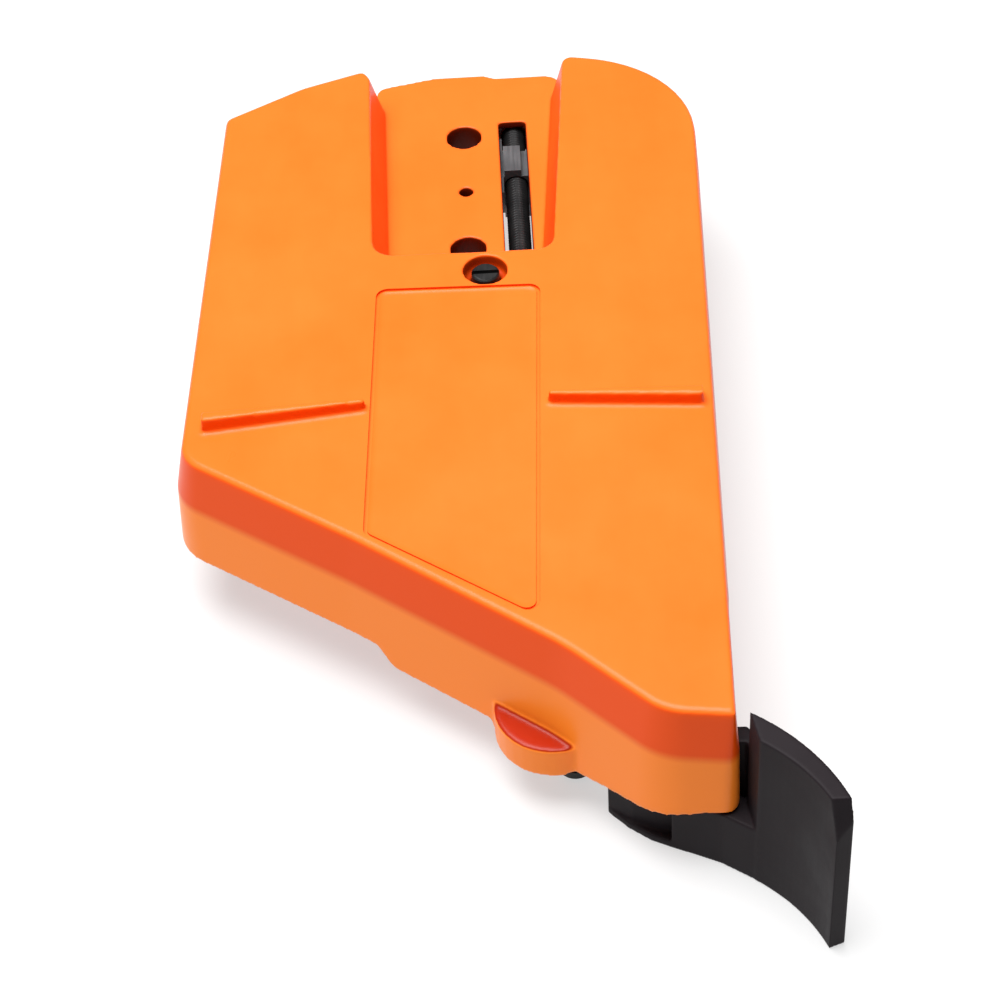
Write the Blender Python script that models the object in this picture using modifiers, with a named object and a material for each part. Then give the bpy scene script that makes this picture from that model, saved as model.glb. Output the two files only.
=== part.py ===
"""Clutch cover assembly of a professional petrol chainsaw.

The cast cover lies with its outer face up (+Z).  The guide bar's axis is Y, with the bar's nose
towards +Y, and the saw's underside is towards +X.  The origin is on the clamp face, under the bar
guide plate, midway between the two bar studs.  Dimensions are in millimetres and MM turns them
into metres.  Inside are the side chain tensioner (adjuster screw, crossed helical gears, threaded
spindle, sliding block and pin) and, at the rear, the rubber chip flap.
"""
import math

import bmesh
import bpy
from mathutils import Vector

MM = 0.001
GAP = 0.3                    # running and assembly clearance between pieces

# Heights of the casting
TOP_Z = 23.5                 # outer face
CREASE_Z = 11.5              # line where the wall's upper, sloping band ends
RIM_Z = -5.2                 # rim at the rear right
HIGH_RIM_Z = -4.6            # higher rim, left
LOW_RIM_Z = -9.2             # rim along the sloping rear wall
BASE_Z = -13.0               # the walls are cast to here and then trimmed to the rim
FLOOR_Z = 11.0               # floor of the bar nut channel
WALL = 3.2
ROOF = 3.0
CREASE_OUT = 2.2             # how far the wall stands out at the crease, from the top edge
RIM_OUT = 3.6                # and at the rim
EDGE_ROUND = 1.2
WALL_STEPS = 12              # facets that each corner of the walls is rounded with

# Bar studs and guide plate
STUD_SPACING = 45.6
STUD_HOLE = 9.0
LOCATING_HOLE = 3.4
PLATE_THICK = 1.5
PLATE_SCREWS = [(-14.5, 40.5), (16.0, 40.5), (-14.5, -36.0)]
PLATE_SCREW_R = 2.0

# Chain tensioner
ADJUSTER_X = 4.1
ADJUSTER_Y = -46.1
SPINDLE_X = 13.0
SPINDLE_Z = 5.2
SPINDLE_R = 2.9
JOURNAL_R = 2.0
THREAD_R = 2.95
SLOT_X = (9.2, 16.1)
SLOT_Y = (-31.0, 28.4)
POCKET_X = (6.6, 19.6)
POCKET_Y = (-31.0, 29.5)
POCKET_ROOF_Z = 8.8
CHAMBER_X = (-2.4, 19.0)
CHAMBER_Y = (-53.0, -39.6)
CHAMBER_ROOF_Z = 9.9
BLOCK_X = (7.4, 18.6)        # tension block
BLOCK_Y = (2.0, 24.6)
GUIDE_X = (10.0, 14.4)       # its raised guide, which runs in the slot
GUIDE_Y = (8.5, 18.9)
GUIDE_TOP_Z = 10.4
PIN_Y = 19.3                 # pin that enters the guide bar
PIN_R = 2.75
PIN_LENGTH = 5.4

# Crossed helical gears
TEETH = 8
PITCH_R = (SPINDLE_X - ADJUSTER_X) / 2
HELIX = math.radians(45)
ADDENDUM = 0.7
DEDENDUM = 0.95
BACKLASH = 0.34
GEAR_WIDTH = 6.6
HUB_R = 3.3
GEAR_PIN_R = 0.7

# Lug on the rear wall, and the sleeve in it that locates the cover on the crankcase
LUG = (14.2, -161.6)
LUG_R = 13.1
LUG_TOP_Z = -3.2
LUG_BOTTOM_Z = -11.6
SLEEVE = (7.2, -161.2)
SLEEVE_R = 4.0
SLEEVE_BORE = 3.1
SLEEVE_WALL = 1.8
SLEEVE_Z = (-15.0, -5.5)

# Chip flap
FLAP_BOTTOM_Z = -22.5
FLAP_TOP_Z = 23.5
WEB_TOP_Z = 9.5              # top of the web that leaves through the chip outlet
FLANGE_Z = (-15.0, -10.8)    # flange that is clamped inside the cover
FLAP_SCREWS = [(18.4, -164.6), (38.0, -175.0)]
FLAP_SCREW_R = 2.5
FLAP_SCREW_TOP_Z = -4.0
CLAMP_THICK = 1.5
LOCK_WASHER_THICK = 1.0

# The cover's plan, at the height of the outer face, as corners (x, y, rounding radius).  A fourth
# value is the share of the walls' draft that the side starting at that corner has.
PLAN = [
    (-60.9, 20.2, 2.5),
    (-66.6, -106.0, 9.0),
    (-27.9, -133.4, 60.0),
    (16.1, -167.5, 60.0),
    (36.0, -187.6, 14.0),
    (50.6, -189.6, 0.4, 0.4),
    (59.0, 4.6, 60.0, 0.4),
    (58.2, 32.8, 33.0),
    (24.8, 40.4, 1.0),
    (23.6, 45.8, 1.5),
    (8.4, 46.0, 1.0),
    (5.6, 47.4, 1.0),
    (-6.8, 47.6, 20.0),
    (-20.6, 44.4, 1.5),
    (-21.2, 39.6, 1.0),
    (-41.5, 32.0, 20.0),
]

# The shallow panel sunk in the outer face
PANEL = [(-21.5, -51.8, 2.6), (-24.5, -132.4, 2.6), (11.9, -159.6, 2.6), (16.5, -53.0, 2.6)]
PANEL_DEPTH = 0.5

# The two ribs on the outer face, each from its outer to its inner end: the foot of the steep rear
# side (x, y), the width of the crest and its height above the face
RIBS = [
    ("left_rib", (-61.6, -98.2, 2.8, 3.8), (-24.6, -93.8, 1.2, 2.9)),
    ("right_rib", (52.0, -98.1, 3.0, 3.5), (17.2, -94.9, 1.2, 3.3)),
]

# The bar nut channel, at the height of the outer face; its front runs out past the casting and
# rounds off the front corners of the two sides
CHANNEL = [
    (-29.3, 70.0, 0.5),
    (-29.3, 38.0, 0.5),
    (-23.9, 37.6, 5.0),
    (-23.1, -38.6, 5.5),
    (20.9, -39.6, 5.0),
    (26.9, 38.6, 3.4),
    (31.0, 39.4, 0.5),
    (31.0, 70.0, 0.5),
]
CHANNEL_DRAFT = 3.5


def clear_scene():
    """Remove everything that the file opened with."""
    for obj in list(bpy.data.objects):
        bpy.data.objects.remove(obj, do_unlink=True)


def make_collection(name):
    """Return a new collection linked to the scene."""
    collection = bpy.data.collections.new(name)
    bpy.context.scene.collection.children.link(collection)
    return collection


def make_material(name, colour, roughness, metallic=0.0):
    """Return a Principled material of one colour."""
    material = bpy.data.materials.new(name)
    material.use_nodes = True
    shader = material.node_tree.nodes["Principled BSDF"]
    shader.inputs["Base Color"].default_value = (*colour, 1.0)
    shader.inputs["Roughness"].default_value = roughness
    shader.inputs["Metallic"].default_value = metallic
    material.diffuse_color = (*colour, 1.0)
    return material


clear_scene()
PARTS = make_collection("chainsaw_clutch_cover")
CUTTERS = make_collection("cutters")
PAINT = make_material("orange_paint", (0.90, 0.22, 0.02), 0.3)
STEEL = make_material("zinc_steel", (0.56, 0.56, 0.54), 0.35, 1.0)
BLACK_STEEL = make_material("blackened_steel", (0.02, 0.02, 0.02), 0.4, 0.8)
RUBBER = make_material("black_rubber", (0.03, 0.025, 0.03), 0.6)


def smooth(obj):
    """Shade round sides smooth and keep the sharp edges."""
    obj.data.shade_smooth()
    obj.data.set_sharp_from_angle(angle=math.radians(35))


def new_object(name, mesh, material=None, origin=(0, 0, 0), along_y=False):
    """Link a mesh as a part, or as a cutter where it has no material."""
    obj = bpy.data.objects.new(name, mesh)
    obj.location = Vector(origin) * MM
    if along_y:
        obj.rotation_euler = (-math.pi / 2, 0, 0)
    if material is None:
        CUTTERS.objects.link(obj)
        obj.hide_render = True
        obj.display_type = "WIRE"
    else:
        mesh.materials.append(material)
        PARTS.objects.link(obj)
    return obj


def finish_mesh(bm, name):
    """Turn a bmesh into a mesh with its faces pointing out."""
    bmesh.ops.recalc_face_normals(bm, faces=bm.faces)
    mesh = bpy.data.meshes.new(name)
    bm.to_mesh(mesh)
    bm.free()
    return mesh


def rounded(corners, steps=6):
    """Return the points of a closed outline, each corner (x, y, r) rounded by its radius."""
    points = []
    for i, (x, y, radius, *_) in enumerate(corners):
        corner = Vector((x, y))
        before = (Vector(corners[i - 1][:2]) - corner).normalized()
        after = (Vector(corners[(i + 1) % len(corners)][:2]) - corner).normalized()
        half = before.angle(after) / 2
        centre = corner + (before + after).normalized() * (radius / math.sin(half))
        start = corner + before * (radius / math.tan(half)) - centre
        turn = start.angle_signed(corner + after * (radius / math.tan(half)) - centre)
        for step in range(steps + 1):
            angle = -turn * step / steps
            spin = Vector((start.x * math.cos(angle) - start.y * math.sin(angle),
                           start.x * math.sin(angle) + start.y * math.cos(angle)))
            points.append(centre + spin)
    return points


def side_share(corner):
    """Return how much of an outward move the side that starts at a corner takes."""
    return corner[3] if len(corner) > 3 else 1.0


def grown(corners, distance):
    """Return corners of the same outline moved outwards, for an anticlockwise outline."""
    moved = []
    for i, (x, y, radius, *_) in enumerate(corners):
        corner = Vector((x, y))
        into = (corner - Vector(corners[i - 1][:2])).normalized()
        out_of = (Vector(corners[(i + 1) % len(corners)][:2]) - corner).normalized()
        move_in = distance * side_share(corners[i - 1])
        move_out = distance * side_share(corners[i])
        turn = into.x * out_of.y - into.y * out_of.x
        shift = (into * move_out - out_of * move_in) / turn
        radius = max(radius + (distance if turn > 0 else -distance), 0.3)
        moved.append((x + shift.x, y + shift.y, radius, side_share(corners[i])))
    return moved


def loft(name, sections, material=None, steps=6):
    """Join rounded outlines at rising heights into one closed body: [(corners, z), ...]."""
    bm = bmesh.new()
    rings = []
    for corners, z in sections:
        rings.append([bm.verts.new(Vector((p.x, p.y, z)) * MM) for p in rounded(corners, steps)])
    count = len(rings[0])
    for lower, upper in zip(rings, rings[1:]):
        for i in range(count):
            j = (i + 1) % count
            bm.faces.new((lower[i], lower[j], upper[j], upper[i]))
    bm.faces.new(list(reversed(rings[0])))
    bm.faces.new(rings[-1])
    bmesh.ops.remove_doubles(bm, verts=bm.verts, dist=0.01 * MM)
    obj = new_object(name, finish_mesh(bm, name), material)
    smooth(obj)
    return obj


def box(name, xs, ys, zs, material=None):
    """Return a box between the given limits, with its origin in its middle."""
    limits = (xs, ys, zs)
    bm = bmesh.new()
    bmesh.ops.create_cube(bm, size=1.0)
    bmesh.ops.scale(bm, verts=bm.verts, vec=[(high - low) * MM for low, high in limits])
    middle = [(low + high) / 2 for low, high in limits]
    return new_object(name, finish_mesh(bm, name), material, middle)


def cylinder(name, centre, radius, low, high, material=None, along_y=False, top_radius=None, sides=32):
    """Return a cylinder or cone on an upright axis, or on one along Y, between two heights."""
    bm = bmesh.new()
    bmesh.ops.create_cone(bm, cap_ends=True, segments=sides, radius1=radius * MM,
                          radius2=(top_radius or radius) * MM, depth=(high - low) * MM)
    bmesh.ops.translate(bm, verts=bm.verts, vec=(0, 0, (high + low) / 2 * MM))
    obj = new_object(name, finish_mesh(bm, name), material, centre, along_y)
    smooth(obj)
    return obj


def turned(name, profile, material, origin, along_y=False, ring=False, sides=32):
    """Turn a profile of (radius, height), listed from top to bottom, about an axis."""
    bm = bmesh.new()
    verts = [bm.verts.new((radius * MM, 0, height * MM)) for radius, height in profile]
    for first, second in zip(verts, verts[1:]):
        bm.edges.new((first, second))
    if ring:
        bm.edges.new((verts[-1], verts[0]))
    mesh = bpy.data.meshes.new(name)
    bm.to_mesh(mesh)
    bm.free()
    obj = new_object(name, mesh, material, origin, along_y)
    screw = obj.modifiers.new("turn", "SCREW")
    screw.axis = "Z"
    screw.angle = math.tau
    screw.steps = sides
    screw.render_steps = sides
    screw.use_smooth_shade = True
    screw.use_merge_vertices = True
    screw.merge_threshold = 0.00001
    return obj


def boolean(target, tool, operation="DIFFERENCE"):
    """Cut or join an object with another that is kept as a cutter."""
    if tool.name not in CUTTERS.objects:
        PARTS.objects.unlink(tool)
        CUTTERS.objects.link(tool)
        tool.hide_render = True
        tool.display_type = "WIRE"
    modifier = target.modifiers.new(tool.name, "BOOLEAN")
    modifier.object = tool
    modifier.operation = operation
    modifier.solver = "EXACT"


def rectangle(xs, ys, radius):
    """Return the anticlockwise corners of a rectangle."""
    return [(xs[0], ys[0], radius), (xs[1], ys[0], radius), (xs[1], ys[1], radius), (xs[0], ys[1], radius)]


# ---------------------------------------------------------------------------------------- casting

def make_cavity():
    """The hollow inside the walls, less the solid round the channel and the tensioner."""
    inner = [(grown(PLAN, RIM_OUT - WALL), -40.0), (grown(PLAN, RIM_OUT - WALL), BASE_Z),
             (grown(PLAN, CREASE_OUT - WALL), CREASE_Z), (grown(PLAN, -WALL), TOP_Z - ROOF)]
    cavity = loft("cavity", inner, steps=WALL_STEPS)
    foot = grown(CHANNEL, WALL - CHANNEL_DRAFT)
    island = loft("island", [(foot, PLATE_THICK), (foot, FLOOR_Z - WALL), (grown(CHANNEL, WALL), TOP_Z + 2)])
    boolean(cavity, island)
    boolean(cavity, box("gear_house", (CHAMBER_X[0] - 3, CHAMBER_X[1] + 3), (CHAMBER_Y[0] - 4.6, -36.0),
                        (PLATE_THICK, CHAMBER_ROOF_Z + 3.2)))
    boolean(cavity, cylinder("adjuster_boss", (ADJUSTER_X, ADJUSTER_Y, 0), 7.6, PLATE_THICK + 1, TOP_Z + 2))
    for number, (x, y) in enumerate(FLAP_SCREWS):
        boolean(cavity, cylinder(f"flap_boss_{number}", (x, y, 0), 4.8, FLANGE_Z[1] + GAP, TOP_Z + 2))
    boolean(cavity, cylinder("sleeve_boss", (*SLEEVE, 0), SLEEVE_R + SLEEVE_WALL, BASE_Z, TOP_Z + 2))
    return cavity


def cut_channel(shell):
    """The channel for the bar nuts, with its holes, slot and round front corners."""
    floor = grown(CHANNEL, -CHANNEL_DRAFT)
    channel = loft("channel", [(floor, FLOOR_Z), (CHANNEL, TOP_Z), (CHANNEL, TOP_Z + 3)])
    boolean(shell, channel)
    for y in (STUD_SPACING / 2, -STUD_SPACING / 2):
        boolean(shell, cylinder(f"stud_hole_{y:.0f}", (0, y, 0), STUD_HOLE / 2, -5, 15))
    boolean(shell, cylinder("locating_hole", (0, 0, 0), LOCATING_HOLE / 2, -5, 15, sides=16))
    boolean(shell, loft("spindle_window", [(rectangle(SLOT_X, SLOT_Y, 0.6), 5.0),
                                           (rectangle(SLOT_X, SLOT_Y, 0.6), 15.0)], steps=2))


def cut_tensioner_space(shell):
    """The pocket, chamber, bores and seats that hold the chain tensioner."""
    boolean(shell, box("pocket", POCKET_X, POCKET_Y, (-5, POCKET_ROOF_Z)))
    boolean(shell, box("chamber", CHAMBER_X, CHAMBER_Y, (-5, CHAMBER_ROOF_Z)))
    boolean(shell, cylinder("gear_room", (SPINDLE_X, 0, SPINDLE_Z), 5.6, *CHAMBER_Y, along_y=True))
    seats = [("rear_seat", JOURNAL_R, (CHAMBER_Y[0] - 10, CHAMBER_Y[0] + 1)),
             ("middle_seat", SPINDLE_R, (CHAMBER_Y[1] - 1, POCKET_Y[0] + 1)),
             ("front_seat", THREAD_R, (POCKET_Y[1] - 1, POCKET_Y[1] + 5))]
    for name, radius, (low, high) in seats:
        radius += GAP
        boolean(shell, cylinder(name, (SPINDLE_X, 0, SPINDLE_Z), radius, low, high, along_y=True))
        boolean(shell, box(name + "_mouth", (SPINDLE_X - radius, SPINDLE_X + radius), (low, high),
                           (-5, SPINDLE_Z)))
    centre = (ADJUSTER_X, ADJUSTER_Y, 0)
    boolean(shell, cylinder("adjuster_recess", centre, 5.3, TOP_Z - 3.5, TOP_Z + 2))
    boolean(shell, cylinder("adjuster_bore", centre, 3.7, 13.4, TOP_Z))
    boolean(shell, cylinder("adjuster_neck", centre, 2.8, 5, 14))


def cut_openings(shell):
    """Openings in the walls: bar and chain at the front, chips at the rear, the rim's step."""
    boolean(shell, box("bar_mouth", (-38, 40), (22, 70), (-20, PLATE_THICK)))
    boolean(shell, box("chip_outlet", (45, 70), (-186.0, -148.0), (-20, 19)))
    below = [(-90, -20, 0.3), (90, -20, 0.3), (90, RIM_Z, 0.3), (46, RIM_Z, 20), (25, LOW_RIM_Z, 10),
             (16, LUG_BOTTOM_Z, 4), (1, LUG_BOTTOM_Z, 0.3), (0.4, LOW_RIM_Z, 0.3), (-20.8, LOW_RIM_Z, 1.6),
             (-24.2, HIGH_RIM_Z, 1.6), (-90, HIGH_RIM_Z, 0.3)]
    cutter = loft("below_rim", [(below, -60), (below, 230)])
    cutter.rotation_euler = (math.pi / 2, 0, 0)
    boolean(shell, cutter)


def add_ribs(shell):
    """The two tapered ribs and the half-round lug on the outer side."""
    base_z = TOP_Z - 0.6
    for name, outer, inner in RIBS:
        bm = bmesh.new()
        for x, y, crest, height in (outer, inner):
            near_slope = 0.1 * height
            far_slope = 0.4 * height
            section = [(0, base_z), (near_slope, TOP_Z + height), (near_slope + crest, TOP_Z + height),
                       (near_slope + crest + far_slope, base_z)]
            for across, z in section:
                bm.verts.new(Vector((x, y + across, z)) * MM)
        bmesh.ops.convex_hull(bm, input=bm.verts)
        boolean(shell, new_object(name, finish_mesh(bm, name)), "UNION")
    boolean(shell, cylinder("lug", (*LUG, 0), LUG_R, BASE_Z, LUG_TOP_Z), "UNION")


def cut_panel(shell):
    """The shallow panel in the outer face."""
    boolean(shell, loft("panel", [(PANEL, TOP_Z - PANEL_DEPTH), (PANEL, TOP_Z + 1)], steps=4))


def make_cover():
    """The die-cast cover."""
    sections = [(grown(PLAN, RIM_OUT), BASE_Z), (grown(PLAN, CREASE_OUT), CREASE_Z),
                (PLAN, TOP_Z - EDGE_ROUND), (grown(PLAN, -0.3 * EDGE_ROUND), TOP_Z - 0.3 * EDGE_ROUND),
                (grown(PLAN, -EDGE_ROUND), TOP_Z)]
    shell = loft("cover_shell", sections, PAINT, WALL_STEPS)
    cut_panel(shell)
    add_ribs(shell)
    cut_channel(shell)
    boolean(shell, make_cavity())
    cut_tensioner_space(shell)
    cut_openings(shell)
    for number, (x, y) in enumerate(PLATE_SCREWS):
        boolean(shell, cylinder(f"plate_screw_hole_{number}", (x, y, 0), 2.3, -5, 8.4, sides=20))
    for number, (x, y) in enumerate(FLAP_SCREWS):
        boolean(shell, cylinder(f"flap_screw_hole_{number}", (x, y, 0), FLAP_SCREW_R + GAP, -20,
                                FLAP_SCREW_TOP_Z + GAP, sides=20))
    boolean(shell, cylinder("sleeve_hole", (*SLEEVE, 0), SLEEVE_R + GAP, -20, SLEEVE_Z[1] + GAP))
    return shell


# ------------------------------------------------------------------------------- chain tensioner

def gear_section(phase):
    """Return one turn of the gear's outline as (x, y) points, with involute flanks."""
    pressure = math.atan(math.tan(math.radians(20)) / math.cos(HELIX))
    base = PITCH_R * math.cos(pressure)
    half_pitch = math.pi / (2 * TEETH) - BACKLASH / (4 * PITCH_R)

    def half_angle(radius):
        slope = math.acos(min(base / radius, 1.0))
        return half_pitch + (math.tan(pressure) - pressure) - (math.tan(slope) - slope)

    tip = PITCH_R + ADDENDUM
    root = PITCH_R - DEDENDUM
    flank = [(radius, half_angle(radius)) for radius in (tip, PITCH_R, base)]
    flank.append((root, flank[-1][1] * 1.15))
    points = []
    for tooth in range(TEETH):
        middle = phase + math.tau * tooth / TEETH
        for radius, half in reversed(flank):
            points.append((radius * math.cos(middle - half), radius * math.sin(middle - half)))
        for radius, half in flank:
            points.append((radius * math.cos(middle + half), radius * math.sin(middle + half)))
    return points


def helical_gear(name, centre_height, phase, material, origin, along_y=False, layers=6):
    """Return a left-hand helical gear; its tooth at the phase angle is true at mid-width."""
    bm = bmesh.new()
    rings = []
    for layer in range(layers + 1):
        height = GEAR_WIDTH * (layer / layers - 0.5)
        turn = phase - height * math.tan(HELIX) / PITCH_R
        rings.append([bm.verts.new(Vector((x, y, centre_height + height)) * MM)
                      for x, y in gear_section(turn)])
    count = len(rings[0])
    for lower, upper in zip(rings, rings[1:]):
        for i in range(count):
            j = (i + 1) % count
            bm.faces.new((lower[i], lower[j], upper[j], upper[i]))
    bm.faces.new(list(reversed(rings[0])))
    bm.faces.new(rings[-1])
    return new_object(name, finish_mesh(bm, name), material, origin, along_y)


def make_adjuster():
    """The slotted adjuster screw with its gear, its O-ring and its thrust washer."""
    origin = (ADJUSTER_X, ADJUSTER_Y, 0)
    gear_top = SPINDLE_Z + GEAR_WIDTH / 2
    profile = [(0, 22.7), (3.0, 22.7), (3.4, 22.3), (3.4, 18.6), (2.2, 18.6), (2.2, 16.6), (3.4, 16.6),
               (3.4, 13.8), (2.5, 13.8), (2.5, 1.8), (1.9, 1.8), (1.9, 0.3), (0, 0.3)]
    screw = turned("adjuster_screw", profile, BLACK_STEEL, origin)
    gear = helical_gear("adjuster_teeth", SPINDLE_Z, 0.0, None, origin)
    boolean(screw, gear, "UNION")
    slot = box("driver_slot", (ADJUSTER_X - 5, ADJUSTER_X + 5), (ADJUSTER_Y - 0.6, ADJUSTER_Y + 0.6),
               (21.0, 25))
    boolean(screw, slot)
    ring_r = 0.5
    ring_mid = 3.0
    ring_points = 8
    turns = [math.tau * k / ring_points for k in range(ring_points)]
    section = [(ring_mid + ring_r * math.cos(turn), 17.6 - ring_r * math.sin(turn)) for turn in turns]
    turned("adjuster_o_ring", section, RUBBER, origin, ring=True, sides=24)
    washer = [(5.2, gear_top + 0.9), (5.2, gear_top + GAP), (2.8, gear_top + GAP), (2.8, gear_top + 0.9)]
    turned("adjuster_washer", washer, STEEL, origin, ring=True)


def make_spindle():
    """The threaded spindle with its gear, the pin through the gear's hub, and a washer."""
    origin = (SPINDLE_X, 0, SPINDLE_Z)
    collar = (CHAMBER_Y[1] - 1.7, CHAMBER_Y[1] - GAP)
    hub = (ADJUSTER_Y - GEAR_WIDTH / 2 - 2.4, ADJUSTER_Y - GEAR_WIDTH / 2 + 0.5)
    pin_y = hub[0] + 1.2
    profile = [(0, 33.6), (2.3, 33.6), (THREAD_R, 32.9), (THREAD_R, POCKET_Y[0]), (SPINDLE_R, POCKET_Y[0]),
               (SPINDLE_R, collar[1]), (4.2, collar[1]), (4.2, collar[0]), (JOURNAL_R, collar[0]),
               (JOURNAL_R, -57.0), (1.6, -57.4), (0, -57.4)]
    spindle = turned("tension_spindle", profile, BLACK_STEEL, origin, along_y=True)
    phase = math.pi + math.pi / TEETH
    gear = helical_gear("spindle_gear", ADJUSTER_Y, phase, STEEL, origin, along_y=True)
    boolean(gear, cylinder("gear_hub", origin, HUB_R, *hub, along_y=True), "UNION")
    boolean(gear, cylinder("gear_bore", origin, JOURNAL_R + GAP, hub[0] - 2, collar[0] + 2, along_y=True))
    pin_hole = cylinder("pin_hole", (SPINDLE_X, pin_y, SPINDLE_Z), GEAR_PIN_R + GAP, -6, 6, sides=16)
    boolean(gear, pin_hole)
    boolean(spindle, pin_hole)
    profile = [(0, HUB_R), (GEAR_PIN_R, HUB_R), (GEAR_PIN_R, -HUB_R), (0, -HUB_R)]
    turned("gear_pin", profile, STEEL, (SPINDLE_X, pin_y, SPINDLE_Z), sides=16)
    washer = [(4.0, hub[0] - GAP), (4.0, CHAMBER_Y[0] + GAP), (JOURNAL_R + GAP, CHAMBER_Y[0] + GAP),
              (JOURNAL_R + GAP, hub[0] - GAP)]
    turned("spindle_washer", washer, STEEL, origin, along_y=True, ring=True)


def make_block():
    """The nut block that slides along the slot, and the pin that enters the guide bar."""
    bore = THREAD_R + GAP
    block = box("tension_block", BLOCK_X, BLOCK_Y, (PLATE_THICK + GAP, POCKET_ROOF_Z - GAP), BLACK_STEEL)
    boolean(block, box("block_foot", (SPINDLE_X - 3.3, SPINDLE_X + 3.3), BLOCK_Y, (GAP, 4.0)), "UNION")
    for name, ys in (("rear", (BLOCK_Y[0] - 1, GUIDE_Y[0])), ("front", (GUIDE_Y[1], BLOCK_Y[1] + 1))):
        boolean(block, box(f"block_{name}_gap", (SPINDLE_X - bore, SPINDLE_X + bore), ys, (SPINDLE_Z, 12.0)))
    boolean(block, box("block_guide", GUIDE_X, GUIDE_Y, (SPINDLE_Z, GUIDE_TOP_Z)), "UNION")
    boolean(block, cylinder("block_thread", (SPINDLE_X, 0, SPINDLE_Z), bore, BLOCK_Y[0] - 1, BLOCK_Y[1] + 1,
                            along_y=True))
    pin = [(0, 0.0), (PIN_R, 0.0), (PIN_R, 0.8 - PIN_LENGTH), (PIN_R - 0.6, -PIN_LENGTH), (0, -PIN_LENGTH)]
    turned("tension_pin", pin, STEEL, (SPINDLE_X, PIN_Y, 0))
    return block


def make_guide_plate():
    """The steel plate that the guide bar is clamped against, which also closes the tensioner."""
    outline = [(-18.6, 44.0, 3.0), (-18.6, -40.2, 3.0), (-5.0, -40.2, 3.0), (-5.0, -57.0, 3.0),
               (21.6, -57.0, 3.0), (20.4, 44.0, 3.0)]
    plate = loft("bar_guide_plate", [(outline, 0.0), (outline, PLATE_THICK - GAP)], STEEL, steps=4)
    slot = rectangle((SPINDLE_X - 4.2, SPINDLE_X + 4.2), (-15.0, 29.0), 1.2)
    boolean(plate, loft("pin_slot", [(slot, -2), (slot, 4)]))
    for y in (STUD_SPACING / 2, -STUD_SPACING / 2):
        boolean(plate, cylinder(f"plate_stud_hole_{y:.0f}", (0, y, 0), STUD_HOLE / 2, -2, 4))
    boolean(plate, box("gear_window", (SPINDLE_X - 4.2, SPINDLE_X + 4.2), CHAMBER_Y, (-2, 4)))
    boolean(plate, cylinder("pivot_hole", (ADJUSTER_X, ADJUSTER_Y, 0), 2.2, -2, 4, sides=20))
    for number, (x, y) in enumerate(PLATE_SCREWS):
        boolean(plate, cylinder(f"countersink_{number}", (x, y, 0), 4.2, -0.3, PLATE_THICK,
                                top_radius=2.4, sides=24))
        profile = [(0, 7.8), (1.6, 7.8), (PLATE_SCREW_R, 7.4), (PLATE_SCREW_R, 1.5), (3.4, 0.05), (0, 0.05)]
        screw = turned(f"guide_plate_screw_{number + 1}", profile, STEEL, (x, y, 0), sides=24)
        boolean(screw, box(f"plate_screw_slot_{number}", (x - 5, x + 5), (y - 0.45, y + 0.45), (-1, 0.9)))


# ------------------------------------------------------------------------------------ chip flap

def arc_points(start, middle, end, steps):
    """Return points on the circle through three points."""
    a, b, c = (Vector(p) for p in (start, middle, end))
    d = 2 * (a.x * (b.y - c.y) + b.x * (c.y - a.y) + c.x * (a.y - b.y))
    x = (a.length_squared * (b.y - c.y) + b.length_squared * (c.y - a.y) + c.length_squared * (a.y - b.y)) / d
    y = (a.length_squared * (c.x - b.x) + b.length_squared * (a.x - c.x) + c.length_squared * (b.x - a.x)) / d
    centre = Vector((x, y))
    spoke = a - centre
    turn = -(spoke.angle_signed(b - centre) + (b - centre).angle_signed(c - centre))
    return [centre + Vector((spoke.x * math.cos(turn * k / steps) - spoke.y * math.sin(turn * k / steps),
                             spoke.x * math.sin(turn * k / steps) + spoke.y * math.cos(turn * k / steps)))
            for k in range(steps + 1)]


def slab(name, outline, low, high, material=None):
    """Return an upright prism on an outline of (x, y) points."""
    bm = bmesh.new()
    rings = [[bm.verts.new(Vector((x, y, z)) * MM) for x, y in outline] for z in (low, high)]
    for i in range(len(outline)):
        j = (i + 1) % len(outline)
        bm.faces.new((rings[0][i], rings[0][j], rings[1][j], rings[1][i]))
    bm.faces.new(list(reversed(rings[0])))
    bm.faces.new(rings[1])
    return new_object(name, finish_mesh(bm, name), material)


def side_slab(name, outline, low, high):
    """Return a cutter that is a prism along Y on an outline of (x, z) points."""
    cutter = slab(name, outline, -high, -low)
    cutter.rotation_euler = (math.pi / 2, 0, 0)
    return cutter


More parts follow.
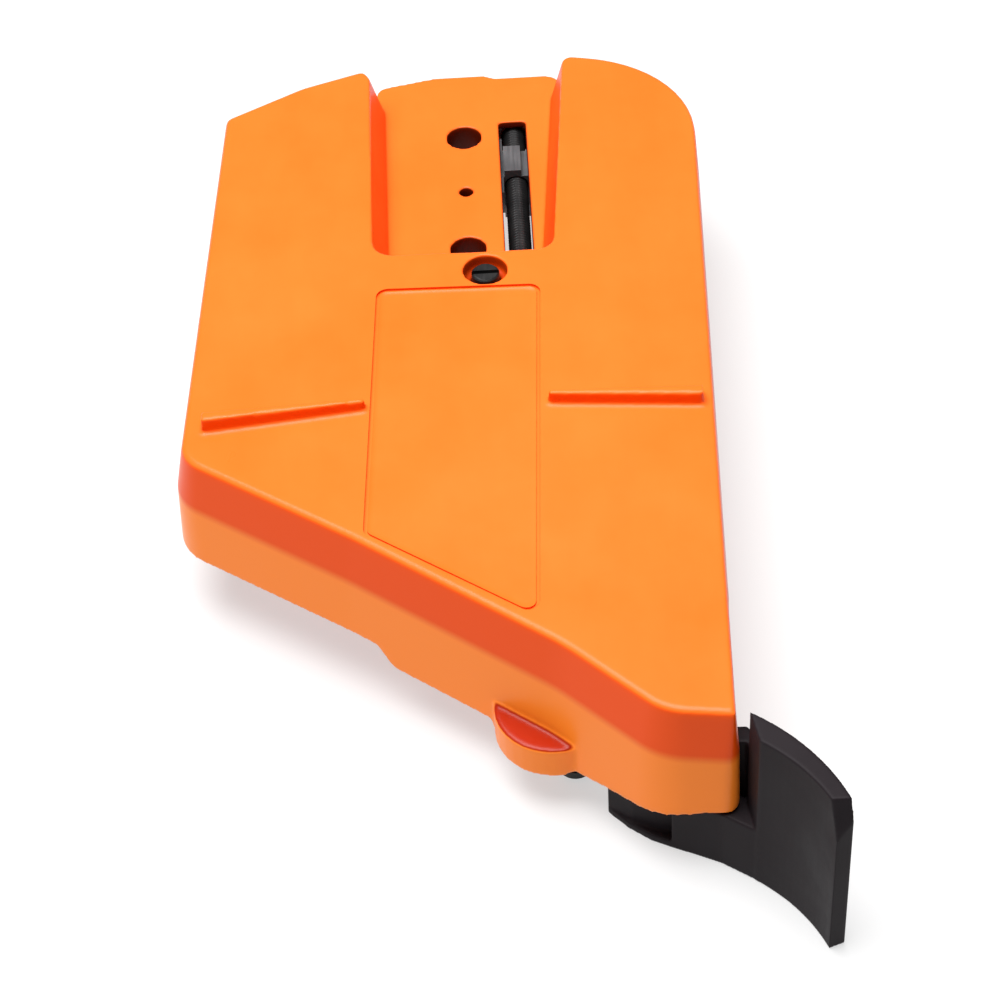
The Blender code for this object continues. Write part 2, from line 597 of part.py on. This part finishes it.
def make_flap():
    """The rubber flap: a curved sheet outside, a web, and a flange clamped inside the cover."""
    near = arc_points((54.6, -196.9), (62.6, -205.0), (68.1, -215.4), 12)
    far = arc_points((53.4, -189.0), (63.6, -198.6), (71.6, -214.1), 12)
    flap = slab("chip_flap", near + far[::-1], FLAP_BOTTOM_Z, FLAP_TOP_Z, RUBBER)
    web = [(46.0, -185.4), (53.6, -185.4), (53.6, -189.6), (55.4, -195.5), (58.0, -193.2), (56.9, -186.4),
           (54.0, -181.0), (46.0, -180.6)]
    boolean(flap, slab("flap_web", web, FLAP_BOTTOM_Z + 0.02, WEB_TOP_Z), "UNION")
    below = [(24.6, -176.5), (28.9, -181.3), (33.4, -184.9), (37.6, -187.1), (42.8, -189.5), (47.9, -192.0),
             (55.2, -197.2), (57.0, -192.5), (50.0, -184.0), (45.0, -181.0), (33.4, -181.0), (26.0, -175.3)]
    lower = slab("flap_lower", below, FLAP_BOTTOM_Z + 0.06, 0.0)
    low = LOW_RIM_Z - 2 * GAP
    high = RIM_Z - 2 * GAP
    rim_line = [(20, 9), (20, low), (24, low), (46, high), (70, high), (70, 9)]
    boolean(lower, side_slab("under_rim", rim_line, -240, -160))
    boolean(flap, lower, "UNION")
    flange = [(13.6, -163.8, 2.0), (33.0, -182.4, 2.0), (47.4, -184.5, 2.0), (47.4, -176.0, 2.0),
              (38.0, -168.5, 3.0), (20.4, -157.4, 2.0)]
    boolean(flap, loft("flap_flange", [(flange, FLANGE_Z[0]), (flange, FLANGE_Z[1])], steps=4), "UNION")
    tip = [(FLAP_TOP_Z + 5, -210.0), (FLAP_TOP_Z, -212.6), (11.5, -216.0), (11.5, -225),
           (FLAP_TOP_Z + 5, -225)]
    tip_cut = slab("tip_cut", [(-z, y) for z, y in tip], 50, 90)
    tip_cut.rotation_euler = (0, math.pi / 2, 0)
    boolean(flap, tip_cut)
    clamp = [(14.0, -163.4, 1.5), (25.0, -173.6, 2.0), (33.6, -179.6, 2.0), (43.5, -179.0, 2.0),
             (42.5, -170.8, 2.0), (34.0, -169.0, 2.0), (20.4, -158.2, 2.0)]
    clamp_top = FLANGE_Z[0] - GAP
    plate = loft("flap_clamp_plate", [(clamp, clamp_top - CLAMP_THICK), (clamp, clamp_top)], STEEL, steps=4)
    washer_top = clamp_top - CLAMP_THICK - GAP
    washer_low = washer_top - LOCK_WASHER_THICK
    head_top = washer_low - GAP
    for number, (x, y) in enumerate(FLAP_SCREWS):
        hole = cylinder(f"flap_hole_{number}", (x, y, 0), FLAP_SCREW_R + GAP, -20, 0, sides=20)
        boolean(flap, hole)
        boolean(plate, hole)
        profile = [(0, FLAP_SCREW_TOP_Z), (FLAP_SCREW_R - 0.4, FLAP_SCREW_TOP_Z),
                   (FLAP_SCREW_R, FLAP_SCREW_TOP_Z - 0.4), (FLAP_SCREW_R, head_top), (3.9, head_top),
                   (3.9, head_top - 2.0), (3.3, head_top - 2.7), (0, head_top - 2.7)]
        screw = turned(f"flap_screw_{number + 1}", profile, BLACK_STEEL, (x, y, 0), sides=24)
        socket = cylinder(f"hex_socket_{number}", (x, y, 0), 1.8, head_top - 5, head_top - 1.0, sides=6)
        boolean(screw, socket)
        washer = [(3.7, washer_top), (3.7, washer_low), (FLAP_SCREW_R + GAP, washer_low),
                  (FLAP_SCREW_R + GAP, washer_top)]
        turned(f"flap_washer_{number + 1}", washer, STEEL, (x, y, 0), ring=True, sides=24)


def make_sleeve():
    """The steel sleeve that locates the cover on the crankcase."""
    low, high = SLEEVE_Z
    ring = [(SLEEVE_R, high), (SLEEVE_R, low), (SLEEVE_BORE, low), (SLEEVE_BORE, high)]
    turned("locating_sleeve", ring, STEEL, (*SLEEVE, 0), ring=True)


make_cover()
make_adjuster()
make_spindle()
make_block()
make_guide_plate()
make_flap()
make_sleeve()
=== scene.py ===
"""Looks of the chainsaw clutch cover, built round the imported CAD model.

The casting and the rubber flap are remade as fine meshes with soft, cast and moulded edges, the
spindle gets its thread, and every other CAD piece keeps its shape and gets broken edges and a
procedural material.  Sizes are in millimetres, and MM turns them into the frame's metres.
"""
import math

import bmesh
import bpy
import numpy as np
from mathutils import Matrix, Vector


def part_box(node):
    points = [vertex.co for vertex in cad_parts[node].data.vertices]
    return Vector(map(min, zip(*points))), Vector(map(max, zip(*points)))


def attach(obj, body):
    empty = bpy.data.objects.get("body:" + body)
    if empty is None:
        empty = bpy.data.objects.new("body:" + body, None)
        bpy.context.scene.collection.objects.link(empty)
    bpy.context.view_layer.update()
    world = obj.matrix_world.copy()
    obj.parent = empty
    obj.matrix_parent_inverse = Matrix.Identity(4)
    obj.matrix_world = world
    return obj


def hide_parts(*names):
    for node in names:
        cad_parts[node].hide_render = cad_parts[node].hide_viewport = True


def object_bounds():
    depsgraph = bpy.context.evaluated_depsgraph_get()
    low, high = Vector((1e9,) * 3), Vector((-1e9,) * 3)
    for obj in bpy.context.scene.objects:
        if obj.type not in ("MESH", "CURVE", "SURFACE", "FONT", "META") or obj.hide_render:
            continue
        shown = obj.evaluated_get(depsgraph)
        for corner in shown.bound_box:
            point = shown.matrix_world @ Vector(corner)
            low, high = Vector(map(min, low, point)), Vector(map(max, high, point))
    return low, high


MM = 0.001

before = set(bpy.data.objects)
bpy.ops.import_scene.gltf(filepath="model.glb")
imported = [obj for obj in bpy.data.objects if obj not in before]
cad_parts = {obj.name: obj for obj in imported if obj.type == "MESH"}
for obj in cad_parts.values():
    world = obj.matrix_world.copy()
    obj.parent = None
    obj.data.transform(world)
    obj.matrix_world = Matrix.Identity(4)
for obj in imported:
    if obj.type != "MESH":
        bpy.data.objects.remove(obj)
CAD_BOUNDS = [list(corner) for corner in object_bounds()]

# Casting
CAST_VOXEL = 0.5      # cell of the remeshed casting
CAST_ROUNDS = 3                              # smoothing rounds, which soften its edges
CAST_SHARE = 0.3                             # share of the faces that is kept where it is flat

# Sunk panel in the outer face, with a fine groove round it that keeps its edge crisp
PANEL = [(-22.1, -51.2), (-25.1, -132.8), (12.3, -160.6), (17.1, -52.4)]
PANEL_RADIUS = 2.8
PANEL_Z = 22.85
GROOVE_WIDTH = 0.9

# Holes painted darker as painted shade, as (low, high) along x, y and z, and the shade colours
SHADED_HOLES = [((-6, 20), (-56, 38), (-9, 10.6)), ((-1.5, 9.7), (-51.7, -40.5), (11, 22.8))]
HOLE_SHADES = [(0.10, 0.008, 0.001, 1), (0.45, 0.035, 0.001, 1)]
LUG_TOP = ((0, 28), (-176, -160), (-4.2, -2.6))
LUG_SHADE = (0.34, 0.016, 0.001, 1)           # painted shade: the lug's flat top is painted darker
CREASE_Z = 11.0                              # where the walls' lower band ends: painted light below it, painted shade above it

# Chip flap
FLAP_VOXEL = 0.32
FLAP_ROUNDS = 3
FLAP_SHARE = 0.5
FLAP_POCKET = [(24.6, -176.5), (29.7, -180.6), (34.9, -183.2), (39.0, -184.6), (37.6, -187.1),
               (37.0, -191.0), (30.0, -188.0), (22.0, -180.0)]
FLAP_POCKET_Z = (-20.4, 5)

# Tensioner spindle, turned about an axis along Y
THREAD_PITCH = 1.0
THREAD_DEPTH = 0.55
THREAD_R = 2.92
THREAD_START_Y = -31.0
THREAD_STEPS = 8                             # rings to each turn of the thread
SPINDLE_SIDES = 32
SHANK_R = 2.9
JOURNAL_R = 2.0
COLLAR_R = 4.2
COLLAR_Y = (-41.3, -39.9)
CHAMFER = 0.4
END_R = 2.1                                  # of the spindle's front end

# Light table under the part
TABLE_SIDE = 8000
TABLE_GLOW = 0.55

# Camera: the lens in millimetres on a 36 mm sensor
CAMERA_PLACE = (9.8, -536.0, 433.5)
CAMERA_TURN = (45.03, 2.60, -1.93)
CAMERA_LENS = 95.4


# ------------------------------------------------------------------------------------- materials

def new_material(name, roughness, metallic=0.0, ior=1.45):
    """Return a material, its node tree and its Principled shader."""
    material = bpy.data.materials.new(name)
    material.use_nodes = True
    tree = material.node_tree
    shader = tree.nodes["Principled BSDF"]
    shader.inputs["Roughness"].default_value = roughness
    shader.inputs["Metallic"].default_value = metallic
    shader.inputs["IOR"].default_value = ior
    return material, tree, shader


def texture(tree, kind, stretch=(1, 1, 1), **values):
    """Return a texture node that reads the object's own coordinates, in metres."""
    place = tree.nodes.new("ShaderNodeTexCoord")
    mapping = tree.nodes.new("ShaderNodeMapping")
    mapping.inputs["Scale"].default_value = stretch
    made = tree.nodes.new("ShaderNodeTex" + kind)
    tree.links.new(place.outputs["Object"], mapping.inputs["Vector"])
    tree.links.new(mapping.outputs["Vector"], made.inputs["Vector"])
    for name, value in values.items():
        made.inputs[name].default_value = value
    return made


def ramp(tree, source, stops, colour=True):
    """Return the output of a ramp over a value, with stops of (place, colour or grey)."""
    made = tree.nodes.new("ShaderNodeValToRGB")
    elements = made.color_ramp.elements
    while len(elements) < len(stops):
        elements.new(0.5)
    for element, (place, value) in zip(elements, stops):
        element.position = place
        element.color = (*value, 1) if colour else (value, value, value, 1)
    tree.links.new(source, made.inputs["Fac"])
    return made.outputs["Color"]


def mixed(tree, factor, first, second, mode="MIX"):
    """Return the output of a colour mix; each input is a socket, a number or a colour."""
    made = tree.nodes.new("ShaderNodeMix")
    made.data_type = "RGBA"
    made.blend_type = mode
    for place, value in ((0, factor), (6, first), (7, second)):
        if isinstance(value, bpy.types.NodeSocket):
            tree.links.new(value, made.inputs[place])
        else:
            made.inputs[place].default_value = value
    return made.outputs[2]


def bumped(tree, shader, heights):
    """Chain bumps of (socket, strength, depth in mm) into the shader's normal."""
    before = None
    for height, strength, depth in heights:
        bump = tree.nodes.new("ShaderNodeBump")
        bump.inputs["Strength"].default_value = strength
        bump.inputs["Distance"].default_value = depth * MM
        tree.links.new(height, bump.inputs["Height"])
        if before:
            tree.links.new(before.outputs["Normal"], bump.inputs["Normal"])
        before = bump
    tree.links.new(before.outputs["Normal"], shader.inputs["Normal"])


def within(tree, limits, fade=0.4):
    """Return a mask that is 1 inside a box of (low, high) limits along x, y and z, in millimetres."""
    place = tree.nodes.new("ShaderNodeTexCoord")
    split = tree.nodes.new("ShaderNodeSeparateXYZ")
    tree.links.new(place.outputs["Object"], split.inputs["Vector"])
    inside = None
    for axis, ends in enumerate(limits):
        for end, out in zip(ends, (-1, 1)):
            edge = tree.nodes.new("ShaderNodeMapRange")
            edge.inputs["From Min"].default_value = (end + out * fade) * MM
            edge.inputs["From Max"].default_value = end * MM
            tree.links.new(split.outputs[axis], edge.inputs["Value"])
            if inside is None:
                inside = edge.outputs["Result"]
                continue
            both = tree.nodes.new("ShaderNodeMath")
            both.operation = "MULTIPLY"
            tree.links.new(inside, both.inputs[0])
            tree.links.new(edge.outputs["Result"], both.inputs[1])
            inside = both.outputs["Value"]
    return inside


def wall_mask(tree):
    """Return a mask that is 1 on steep walls and 0 on faces that look up."""
    place = tree.nodes.new("ShaderNodeTexCoord")
    split = tree.nodes.new("ShaderNodeSeparateXYZ")
    tree.links.new(place.outputs["Normal"], split.inputs["Vector"])
    return ramp(tree, split.outputs["Z"], [(0.35, 1.0), (0.7, 0.0)], colour=False)


def wall_light_and_shade(tree):
    """Return the walls' painted light and shade: lighter below the crease as painted light reflected from
    the floor, darker above it as painted shade.
    """
    place = tree.nodes.new("ShaderNodeTexCoord")
    split = tree.nodes.new("ShaderNodeSeparateXYZ")
    height = tree.nodes.new("ShaderNodeMapRange")
    height.inputs["From Min"].default_value = (CREASE_Z - 1.2) * MM
    height.inputs["From Max"].default_value = (CREASE_Z + 1.2) * MM
    tree.links.new(place.outputs["Object"], split.inputs["Vector"])
    tree.links.new(split.outputs["Z"], height.inputs["Value"])
    return ramp(tree, height.outputs["Result"], [(0.0, (0.98, 0.235, 0.020)), (1.0, (0.76, 0.070, 0.001))])


def make_paint():
    """Glossy orange paint on a die casting, with painted light and shade on the walls and painted shade in
    the creases, the holes and on the lug's top.
    """
    material, tree, shader = new_material("orange_paint", 0.3, ior=1.4)
    shader.inputs["Specular IOR Level"].default_value = 0.24
    clouds = texture(tree, "Noise", Scale=28, Detail=4, Roughness=0.55)
    flow = texture(tree, "Noise", stretch=(1, 0.35, 1), Scale=110, Detail=3)
    grain = texture(tree, "Noise", Scale=1500, Detail=2)
    peel = texture(tree, "Noise", Scale=700, Detail=1)
    base = ramp(tree, clouds.outputs["Fac"], [(0.3, (0.92, 0.128, 0.012)), (0.7, (0.97, 0.150, 0.017))])
    base = mixed(tree, 0.25, base, ramp(tree, flow.outputs["Fac"], [(0.35, (0.92, 0.130, 0.012)),
                                                                     (0.65, (0.97, 0.155, 0.018))]))
    geometry = tree.nodes.new("ShaderNodeNewGeometry")
    # painted shade: concave creases and corners are painted darker
    crease_shade = ramp(tree, geometry.outputs["Pointiness"], [(0.40, 1.0), (0.475, 0.0)], colour=False)
    base = mixed(tree, crease_shade, base, (0.62, 0.055, 0.002, 1))
    # painted shade on the lug's flat top
    base = mixed(tree, within(tree, LUG_TOP), base, LUG_SHADE)
    # painted light and shade: steep walls painted lighter below the crease and darker above it
    base = mixed(tree, wall_mask(tree), base, wall_light_and_shade(tree))
    # painted shade: the holes are painted dark where light does not reach
    for limits, shade_tone in zip(SHADED_HOLES, HOLE_SHADES):
        base = mixed(tree, within(tree, limits), base, shade_tone)
    tree.links.new(base, shader.inputs["Base Color"])
    rough = ramp(tree, clouds.outputs["Fac"], [(0.3, 0.27), (0.7, 0.36)], colour=False)
    tree.links.new(rough, shader.inputs["Roughness"])
    bumped(tree, shader, [(clouds.outputs["Fac"], 0.25, 0.6), (peel.outputs["Fac"], 0.12, 0.05),
                          (grain.outputs["Fac"], 0.08, 0.02)])
    return material


def make_metal(name, dark, light, roughness, metallic=1.0):
    """Plated or blackened steel: faint rolling lines, blotches and fine scratches."""
    material, tree, shader = new_material(name, roughness, metallic)
    blotches = texture(tree, "Noise", Scale=160, Detail=5)
    lines = texture(tree, "Noise", stretch=(1, 0.04, 1), Scale=2400, Detail=2)
    base = ramp(tree, blotches.outputs["Fac"], [(0.3, dark), (0.7, light)])
    tree.links.new(base, shader.inputs["Base Color"])
    rough = ramp(tree, lines.outputs["Fac"], [(0.3, roughness * 0.8), (0.7, roughness * 1.25)], colour=False)
    tree.links.new(rough, shader.inputs["Roughness"])
    bumped(tree, shader, [(blotches.outputs["Fac"], 0.1, 0.05), (lines.outputs["Fac"], 0.1, 0.01)])
    return material


def make_rubber():
    """Matt moulded rubber with a soft bloom and a fine skin."""
    material, tree, shader = new_material("black_rubber", 0.5)
    shader.inputs["Specular IOR Level"].default_value = 0.12
    bloom = texture(tree, "Noise", Scale=60, Detail=6, Roughness=0.6)
    skin = texture(tree, "Noise", Scale=2200, Detail=2)
    base = ramp(tree, bloom.outputs["Fac"], [(0.3, (0.009, 0.006, 0.008)), (0.72, (0.016, 0.012, 0.014))])
    tree.links.new(base, shader.inputs["Base Color"])
    rough = ramp(tree, bloom.outputs["Fac"], [(0.3, 0.44), (0.7, 0.6)], colour=False)
    tree.links.new(rough, shader.inputs["Roughness"])
    bumped(tree, shader, [(bloom.outputs["Fac"], 0.2, 0.3), (skin.outputs["Fac"], 0.25, 0.03)])
    return material


PAINT = make_paint()
ZINC = make_metal("zinc_steel", (0.52, 0.52, 0.50), (0.68, 0.67, 0.63), 0.3)
BLACK = make_metal("black_steel", (0.012, 0.012, 0.013), (0.035, 0.034, 0.034), 0.38, 0.6)
GREY = make_metal("phosphated_steel", (0.09, 0.09, 0.095), (0.15, 0.15, 0.155), 0.5, 0.7)
RUBBER = make_rubber()


# ------------------------------------------------------------------------------------ mesh tools

def add_object(name, mesh, material):
    """Link a mesh as an object with one material."""
    mesh.materials.clear()
    mesh.materials.append(material)
    obj = bpy.data.objects.new(name, mesh)
    bpy.context.scene.collection.objects.link(obj)
    return obj


def cad_copy(node):
    """Return a welded copy of a CAD node's mesh."""
    bm = bmesh.new()
    bm.from_mesh(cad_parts[node].data)
    bmesh.ops.remove_doubles(bm, verts=bm.verts, dist=0.001 * MM)
    mesh = bpy.data.meshes.new(node + "_copy")
    bm.to_mesh(mesh)
    bm.free()
    return mesh


def applied(obj):
    """Apply an object's modifiers."""
    bpy.context.view_layer.update()
    graph = bpy.context.evaluated_depsgraph_get()
    mesh = bpy.data.meshes.new_from_object(obj.evaluated_get(graph))
    obj.modifiers.clear()
    obj.data = mesh


def prism(name, outline, low, high):
    """Return an upright prism on an outline of (x, y) points, for cutting."""
    bm = bmesh.new()
    rings = [[bm.verts.new(Vector((x, y, z)) * MM) for x, y in outline] for z in (low, high)]
    for i in range(len(outline)):
        j = (i + 1) % len(outline)
        bm.faces.new((rings[0][i], rings[0][j], rings[1][j], rings[1][i]))
    bm.faces.new(list(reversed(rings[0])))
    bm.faces.new(rings[1])
    bmesh.ops.recalc_face_normals(bm, faces=bm.faces)
    mesh = bpy.data.meshes.new(name)
    bm.to_mesh(mesh)
    bm.free()
    return add_object(name, mesh, RUBBER)


def cut(obj, tool):
    """Cut an object with another, and remove that other one."""
    modifier = obj.modifiers.new("cut", "BOOLEAN")
    modifier.object = tool
    modifier.operation = "DIFFERENCE"
    modifier.solver = "EXACT"
    applied(obj)
    bpy.data.objects.remove(tool)


def smoothed(mesh, rounds):
    """Move each point towards the middle of its neighbours, a few times, to round the edges."""
    count = len(mesh.vertices)
    points = np.empty(count * 3)
    mesh.vertices.foreach_get("co", points)
    points = points.reshape(-1, 3)
    ends = np.empty(len(mesh.edges) * 2, dtype=np.int64)
    mesh.edges.foreach_get("vertices", ends)
    start, end = ends.reshape(-1, 2).T
    degree = np.bincount(ends, minlength=count)[:, None]
    for _ in range(rounds):
        total = np.empty_like(points)
        for axis in range(3):
            total[:, axis] = (np.bincount(start, points[end, axis], count)
                              + np.bincount(end, points[start, axis], count))
        points += 0.5 * (total / degree - points)
    mesh.vertices.foreach_set("co", points.ravel())
    mesh.update()


def remade(obj, voxel, rounds, share):
    """Give an object a fine, soft-edged surface: remesh, smooth, thin out the flats."""
    remesh = obj.modifiers.new("remesh", "REMESH")
    remesh.mode = "VOXEL"
    remesh.voxel_size = voxel * MM
    applied(obj)
    smoothed(obj.data, rounds)
    thin = obj.modifiers.new("thin", "DECIMATE")
    thin.ratio = share
    applied(obj)
    obj.data.shade_smooth()
    obj.modifiers.new("normals", "WEIGHTED_NORMAL").keep_sharp = False


def break_edges(node, width, material):
    """Give a CAD node its material, smooth round sides and broken edges."""
    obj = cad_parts[node]
    obj.data.materials.clear()
    obj.data.materials.append(material)
    obj.data.shade_smooth()
    weld = obj.modifiers.new("weld", "WELD")
    weld.merge_threshold = 0.001 * MM
    bevel = obj.modifiers.new("bevel", "BEVEL")
    bevel.width = width * MM
    bevel.segments = 2
    bevel.limit_method = "ANGLE"
    bevel.angle_limit = math.radians(40)
    obj.modifiers.new("normals", "WEIGHTED_NORMAL").keep_sharp = False


# ---------------------------------------------------------------------------------------- pieces

def rounded(corners, radius, inset=0.0, steps=5):
    """Return an anticlockwise outline with its corners rounded, then moved inwards."""
    points = []
    for i, corner in enumerate(corners):
        before = (corners[i - 1] - corner).normalized()
        after = (corners[(i + 1) % len(corners)] - corner).normalized()
        half = before.angle(after) / 2
        centre = corner + (before + after).normalized() * radius / math.sin(half)
        start = corner + before * radius / math.tan(half) - centre
        turn = math.pi - 2 * half
        for step in range(steps + 1):
            spin = Matrix.Rotation(turn * step / steps, 2)
            points.append(centre + spin @ start * (1 - inset / radius))
    return points


def make_casting():
    """The die-cast cover with its cast-in edge radii and the groove round its sunk panel."""
    casting = add_object("casting", cad_copy("cover_shell"), PAINT)
    remade(casting, CAST_VOXEL, CAST_ROUNDS, CAST_SHARE)
    corners = [Vector(corner) for corner in PANEL]
    groove = prism("groove", rounded(corners, PANEL_RADIUS), PANEL_Z, PANEL_Z + 3)
    inner = rounded(corners, PANEL_RADIUS, GROOVE_WIDTH)
    cut(groove, prism("panel", inner, PANEL_Z - 1, PANEL_Z + 4))
    cut(casting, groove)
    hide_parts("cover_shell")
    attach(casting, "cover")


def make_flap():
    """The moulded flap, with the pocket in its front block."""
    flap = add_object("rubber_flap", cad_copy("chip_flap"), RUBBER)
    cut(flap, prism("pocket", FLAP_POCKET, *FLAP_POCKET_Z))
    remade(flap, FLAP_VOXEL, FLAP_ROUNDS, FLAP_SHARE)
    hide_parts("chip_flap")
    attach(flap, "cover")


def make_spindle():
    """The tensioner spindle with a real helical thread between its plain ends."""
    low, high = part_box("tension_spindle")
    centre = (low + high) / 2
    centre_x = centre.x / MM
    centre_z = centre.z / MM
    start = low.y / MM
    end = high.y / MM
    thread_end = end - 2 * CHAMFER
    plain = [(start, 0.0), (start, JOURNAL_R - CHAMFER), (start + CHAMFER, JOURNAL_R),
             (COLLAR_Y[0], JOURNAL_R), (COLLAR_Y[0], COLLAR_R), (COLLAR_Y[1], COLLAR_R),
             (COLLAR_Y[1], SHANK_R), (THREAD_START_Y, SHANK_R)]
    rings = [(y, [r] * SPINDLE_SIDES) for y, r in plain]
    turns = int((thread_end - THREAD_START_Y) / THREAD_PITCH * THREAD_STEPS)
    for step in range(1, turns):
        y = THREAD_START_Y + step * THREAD_PITCH / THREAD_STEPS
        fade = min(1.0, step / THREAD_STEPS, (turns - step) / THREAD_STEPS)
        radii = []
        for k in range(SPINDLE_SIDES):
            place = (y / THREAD_PITCH - k / SPINDLE_SIDES) % 1.0
            radii.append(THREAD_R - THREAD_DEPTH * fade * (1 - abs(2 * place - 1)))
        rings.append((y, radii))
    for y, r in ((thread_end, END_R + CHAMFER), (end, END_R), (end, 0.0)):
        rings.append((y, [r] * SPINDLE_SIDES))
    bm = bmesh.new()
    rows = []
    for y, radii in rings:
        row = []
        for k, r in enumerate(radii):
            angle = math.tau * k / SPINDLE_SIDES
            place = (centre_x + r * math.cos(angle), y, centre_z + r * math.sin(angle))
            row.append(bm.verts.new(Vector(place) * MM))
        rows.append(row)
    for lower, upper in zip(rows, rows[1:]):
        for k in range(SPINDLE_SIDES):
            j = (k + 1) % SPINDLE_SIDES
            bm.faces.new((lower[k], lower[j], upper[j], upper[k]))
    bmesh.ops.remove_doubles(bm, verts=bm.verts, dist=0.001 * MM)
    bmesh.ops.recalc_face_normals(bm, faces=bm.faces)
    mesh = bpy.data.meshes.new("spindle_thread")
    bm.to_mesh(mesh)
    bm.free()
    mesh.shade_smooth()
    mesh.set_sharp_from_angle(angle=math.radians(50))
    spindle = add_object("spindle_thread", mesh, BLACK)
    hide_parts("tension_spindle")
    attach(spindle, "spindle")


def finish_nodes():
    """Materials and broken edges for the pieces that keep their CAD shape."""
    looks = {
        "adjuster_screw": (0.12, BLACK), "adjuster_o_ring": (0.02, RUBBER), "adjuster_washer": (0.08, ZINC),
        "spindle_gear": (0.08, ZINC), "gear_pin": (0.1, ZINC), "spindle_washer": (0.08, ZINC),
        "tension_block": (0.25, GREY), "tension_pin": (0.2, ZINC), "bar_guide_plate": (0.15, ZINC),
        "flap_clamp_plate": (0.15, ZINC), "locating_sleeve": (0.15, ZINC),
    }
    for number in (1, 2, 3):
        looks[f"guide_plate_screw_{number}"] = (0.1, ZINC)
    for number in (1, 2):
        looks[f"flap_screw_{number}"] = (0.2, BLACK)
        looks[f"flap_washer_{number}"] = (0.1, ZINC)
    for node, (width, material) in looks.items():
        break_edges(node, width, material)


# ---------------------------------------------------------------------------------------- studio

def area_light(name, place, aim, size, power):
    """Add a square soft light, with places in millimetres."""
    data = bpy.data.lights.new(name, "AREA")
    data.size = size * MM
    data.energy = power
    light = bpy.data.objects.new(name, data)
    light.location = Vector(place) * MM
    light.rotation_euler = (Vector(aim) - Vector(place)).to_track_quat("-Z", "Y").to_euler()
    bpy.context.scene.collection.objects.link(light)


def make_studio():
    """A white light table in a dim room, one large soft light above it, and the camera."""
    floor_z = CAD_BOUNDS[0][2] / MM - 0.1
    material, tree, shader = new_material("pale_floor", 0.7)
    shader.inputs["Base Color"].default_value = (0.32, 0.32, 0.32, 1)
    shader.inputs["Emission Color"].default_value = (1, 1, 1, 1)
    shader.inputs["Emission Strength"].default_value = TABLE_GLOW
    shader.inputs["Specular IOR Level"].default_value = 0.1
    bm = bmesh.new()
    bmesh.ops.create_grid(bm, x_segments=1, y_segments=1, size=TABLE_SIDE / 2 * MM)
    mesh = bpy.data.meshes.new("floor")
    bm.to_mesh(mesh)
    bm.free()
    floor = add_object("floor", mesh, material)
    floor.location.z = floor_z * MM
    middle = (-4, -82, 0)
    area_light("key", (-150, -40, 980), middle, 800, 23)
    world = bpy.data.worlds.new("studio")
    bpy.context.scene.world = world
    world.use_nodes = True
    world.node_tree.nodes["Background"].inputs["Color"].default_value = (1, 1, 1, 1)
    world.node_tree.nodes["Background"].inputs["Strength"].default_value = 0.2
    data = bpy.data.cameras.new("camera")
    data.lens = CAMERA_LENS
    data.sensor_width = 36
    camera = bpy.data.objects.new("camera", data)
    camera.location = Vector(CAMERA_PLACE) * MM
    camera.rotation_euler = [math.radians(angle) for angle in CAMERA_TURN]
    bpy.context.scene.collection.objects.link(camera)
    bpy.context.scene.camera = camera
    bpy.context.scene.view_settings.view_transform = "Standard"


make_casting()
make_flap()
make_spindle()
finish_nodes()
make_studio()
